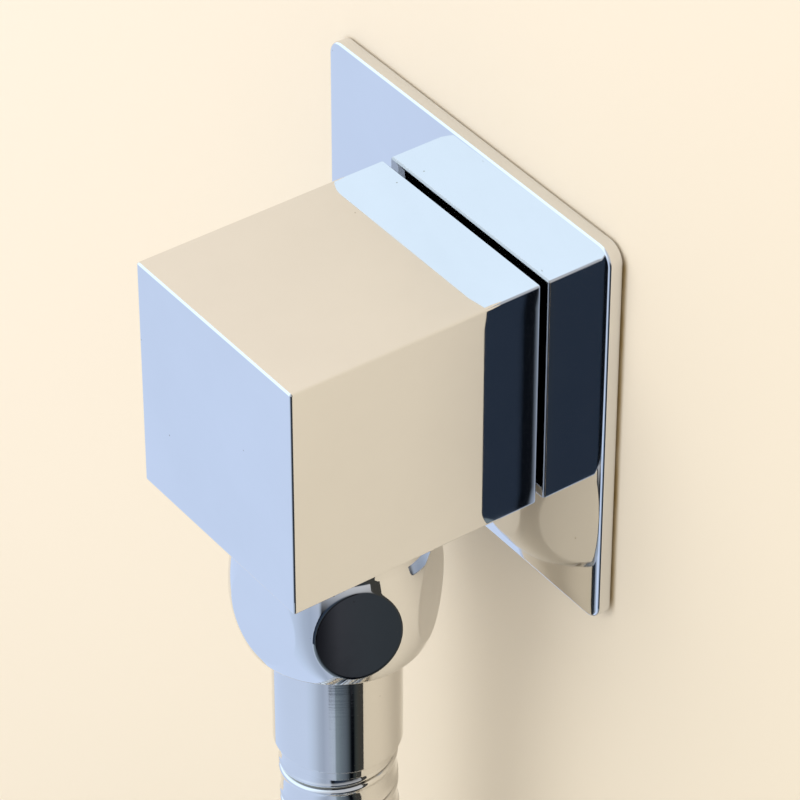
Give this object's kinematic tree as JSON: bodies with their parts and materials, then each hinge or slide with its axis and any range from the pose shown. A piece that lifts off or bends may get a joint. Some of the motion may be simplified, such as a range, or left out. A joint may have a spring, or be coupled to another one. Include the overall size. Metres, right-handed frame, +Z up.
{
  "type": "angle stop valve",
  "caption": "Square polished wall angle valve with a square wall plate, a flush quarter-turn spindle in its side and a metal-clad hose screwed to its outlet.",
  "frame": {"origin": "on the inlet axis at the wall surface, which the gasket rests on", "axes": "+Y into the wall along the inlet, +Z up, outlet down -Z, X along the wall"},
  "size_m": [0.175, 0.0718, 0.3469],
  "materials": {
    "chrome_block": "polished chrome plate on brass",
    "chrome_plate": "polished chrome plate",
    "chrome_nut": "polished chrome plate on brass",
    "chrome_ferrule": "polished, lightly marked",
    "chrome_ball": "mirror ground",
    "hose_steel": "polished interlocked strip",
    "brass": "turned",
    "brass_nickel": "nickel plated, turned",
    "strainer_steel": "perforated sheet",
    "seat_plastic": "low-friction seat ring",
    "rubber_black": "moulded",
    "liner_rubber": "extruded",
    "gasket_foam": "closed-cell foam",
    "tie_fabric": "woven hook-and-loop strap"
  },
  "bodies": {
    "root": {"valve_body": "chrome_block", "wall_flange": "chrome_plate", "flange_gasket": "gasket_foam", "inlet_nipple": "brass", "inlet_o_ring": "rubber_black", "inlet_strainer": "strainer_steel", "inlet_seat": "seat_plastic", "outlet_seat": "seat_plastic", "thrust_washer": "seat_plastic", "spindle_o_ring": "rubber_black", "spindle_gland": "brass_nickel", "outlet_nipple": "brass", "outlet_o_ring": "rubber_black", "hose_washer": "rubber_black", "hose_stem": "brass", "hose_liner": "liner_rubber", "hose_ferrule": "chrome_ferrule", "hose_tube": "hose_steel", "hose_coil": "hose_steel", "coil_tie": "tie_fabric", "far_ferrule": "chrome_ferrule", "far_liner": "liner_rubber", "far_stem": "brass", "far_washer": "rubber_black"},
    "spindle": {"spindle": "brass_nickel", "ball": "chrome_ball"},
    "hose_nut": {"hose_nut": "chrome_nut"},
    "far_nut": {"far_nut": "chrome_nut"}
  },
  "joints": [
    {"name": "spindle_turn", "type": "hinge", "parent": "root", "child": "spindle", "pos_m": [0, -0.0203, 0], "axis": [-1, 0, 0], "range_deg": [0, 90]},
    {"name": "nut_swivel", "type": "hinge", "parent": "root", "child": "hose_nut", "pos_m": [0, -0.0203, -0.0279], "axis": [0, 0, 1], "continuous": true},
    {"name": "far_nut_swivel", "type": "hinge", "parent": "root", "child": "far_nut", "pos_m": [0.07505, -0.04445, -0.18886], "axis": [0.766, 0, -0.6428], "continuous": true}
  ]
}
